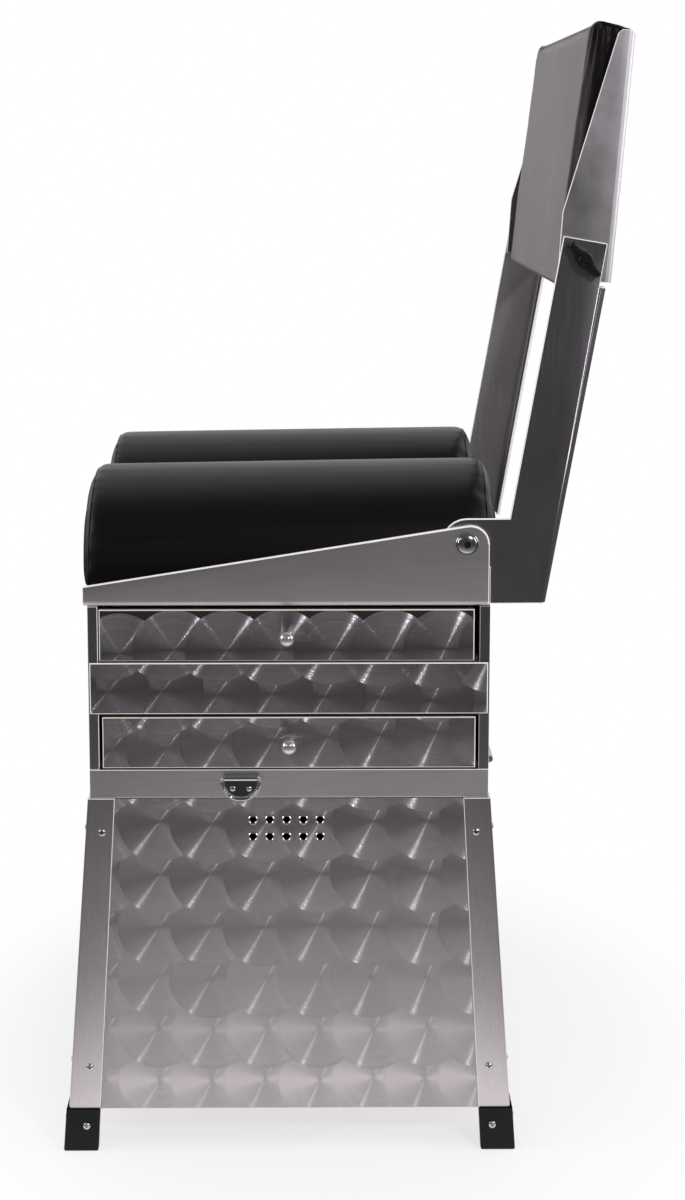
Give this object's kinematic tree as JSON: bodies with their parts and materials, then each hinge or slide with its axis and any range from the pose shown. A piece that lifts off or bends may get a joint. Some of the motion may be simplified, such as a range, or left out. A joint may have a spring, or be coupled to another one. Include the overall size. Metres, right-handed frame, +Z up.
{
  "type": "fishing seat box",
  "caption": "Fishing seat box with a flared base box, a hinged block of drawers, two seat bolsters and a backrest that folds forward.",
  "frame": {"origin": "on the floor, under the middle of the whole box from front to back and from side to side", "axes": "+Z up; -X is the front, where the sitter's legs go; +X the backrest; -Y the sitter's left, the side with two drawers"},
  "size_m": [0.4148, 0.3826, 0.8305],
  "materials": {
    "spotted_panel": "plywood faced with engine-turned aluminium sheet",
    "brushed_aluminium": "brushed sheet, folded",
    "shell_aluminium": "satin sheet, folded",
    "tray_aluminium": "plain sheet",
    "plywood": "varnished plywood",
    "black_vinyl": "black vinyl over foam, fine lengthwise grain",
    "black_rubber": "matte",
    "black_plastic": "satin moulded",
    "bright_steel": "zinc and chrome plated"
  },
  "bodies": {
    "base": {"base_floor_board": "plywood", "base_left_panel": "spotted_panel", "base_right_panel": "spotted_panel", "base_front_panel": "spotted_panel", "base_back_panel": "spotted_panel", "corner_angle_back_right": "brushed_aluminium", "foot_cap_back_right": "black_rubber", "corner_angle_back_left": "brushed_aluminium", "foot_cap_back_left": "black_rubber", "corner_angle_front_right": "brushed_aluminium", "foot_cap_front_right": "black_rubber", "corner_angle_front_left": "brushed_aluminium", "foot_cap_front_left": "black_rubber", "rim_frame": "plywood", "rim_band": "brushed_aluminium", "strap_plate_left": "brushed_aluminium", "strap_plate_right": "brushed_aluminium", "hinge_base_leaf": "brushed_aluminium", "hinge_pin": "bright_steel"},
    "drawer_block": {"hinge_block_leaf": "brushed_aluminium", "block_bottom_board": "plywood", "block_lower_shelf": "plywood", "block_upper_shelf": "plywood", "block_front_panel": "spotted_panel", "block_back_panel": "spotted_panel", "block_right_panel": "spotted_panel", "block_left_panel": "spotted_panel", "seat_tray": "brushed_aluminium", "seat_board": "plywood", "bolster_left": "black_vinyl", "bolster_right": "black_vinyl", "pivot_bolt_left": "bright_steel", "pivot_bolt_right": "bright_steel", "pivot_washer_left": "bright_steel", "pivot_washer_right": "bright_steel", "pivot_nut_left": "bright_steel", "pivot_nut_right": "bright_steel"},
    "lower_drawer": {"lower_drawer_tray": "tray_aluminium", "lower_drawer_face": "spotted_panel", "lower_drawer_knob": "bright_steel"},
    "front_drawer": {"front_drawer_tray": "tray_aluminium", "front_drawer_face": "spotted_panel", "front_drawer_knob": "bright_steel"},
    "upper_drawer": {"upper_drawer_tray": "tray_aluminium", "upper_drawer_face": "spotted_panel", "upper_drawer_knob": "bright_steel"},
    "strap_ring_left": {"strap_ring_left": "bright_steel"},
    "strap_ring_right": {"strap_ring_right": "bright_steel"},
    "backrest_arms": {"arm_left": "brushed_aluminium", "arm_right": "brushed_aluminium"},
    "back_pad": {"backrest_shell": "shell_aluminium", "backrest_pad": "black_vinyl", "clamp_bolt_left": "bright_steel", "clamp_bolt_right": "bright_steel"},
    "wing_knob_left": {"wing_knob_left": "black_plastic"},
    "wing_knob_right": {"wing_knob_right": "black_plastic"}
  },
  "joints": [
    {"name": "block_lid_hinge", "type": "hinge", "parent": "base", "child": "drawer_block", "pos_m": [0.11149, 0, 0.28735], "axis": [0, 1, 0], "range_deg": [0, 90]},
    {"name": "backrest_fold", "type": "hinge", "parent": "drawer_block", "child": "backrest_arms", "pos_m": [0.09079, 0, 0.4574], "axis": [0, -1, 0], "range_deg": [0, 86]},
    {"name": "back_pad_tilt", "type": "hinge", "parent": "backrest_arms", "child": "back_pad", "pos_m": [0.17247, 0, 0.6637], "axis": [0, -1, 0], "range_deg": [-2, 15]},
    {"name": "wing_knob_left_turn", "type": "hinge", "parent": "backrest_arms", "child": "wing_knob_left", "pos_m": [0.17247, -0.1755, 0.6637], "axis": [0, -1, 0], "continuous": true},
    {"name": "wing_knob_right_turn", "type": "hinge", "parent": "backrest_arms", "child": "wing_knob_right", "pos_m": [0.17247, 0.1755, 0.6637], "axis": [0, 1, 0], "continuous": true},
    {"name": "upper_drawer_slide", "type": "slide", "parent": "drawer_block", "child": "upper_drawer", "axis": [0, -1, 0], "range_m": [0, 0.2]},
    {"name": "lower_drawer_slide", "type": "slide", "parent": "drawer_block", "child": "lower_drawer", "axis": [0, -1, 0], "range_m": [0, 0.2]},
    {"name": "front_drawer_slide", "type": "slide", "parent": "drawer_block", "child": "front_drawer", "axis": [-1, 0, 0], "range_m": [0, 0.18]},
    {"name": "strap_ring_left_swing", "type": "hinge", "parent": "base", "child": "strap_ring_left", "pos_m": [-0.07336, -0.17235, 0.2816], "axis": [-1, 0, 0], "range_deg": [0, 90]},
    {"name": "strap_ring_right_swing", "type": "hinge", "parent": "base", "child": "strap_ring_right", "pos_m": [-0.07336, 0.17235, 0.2816], "axis": [1, 0, 0], "range_deg": [0, 90]}
  ]
}
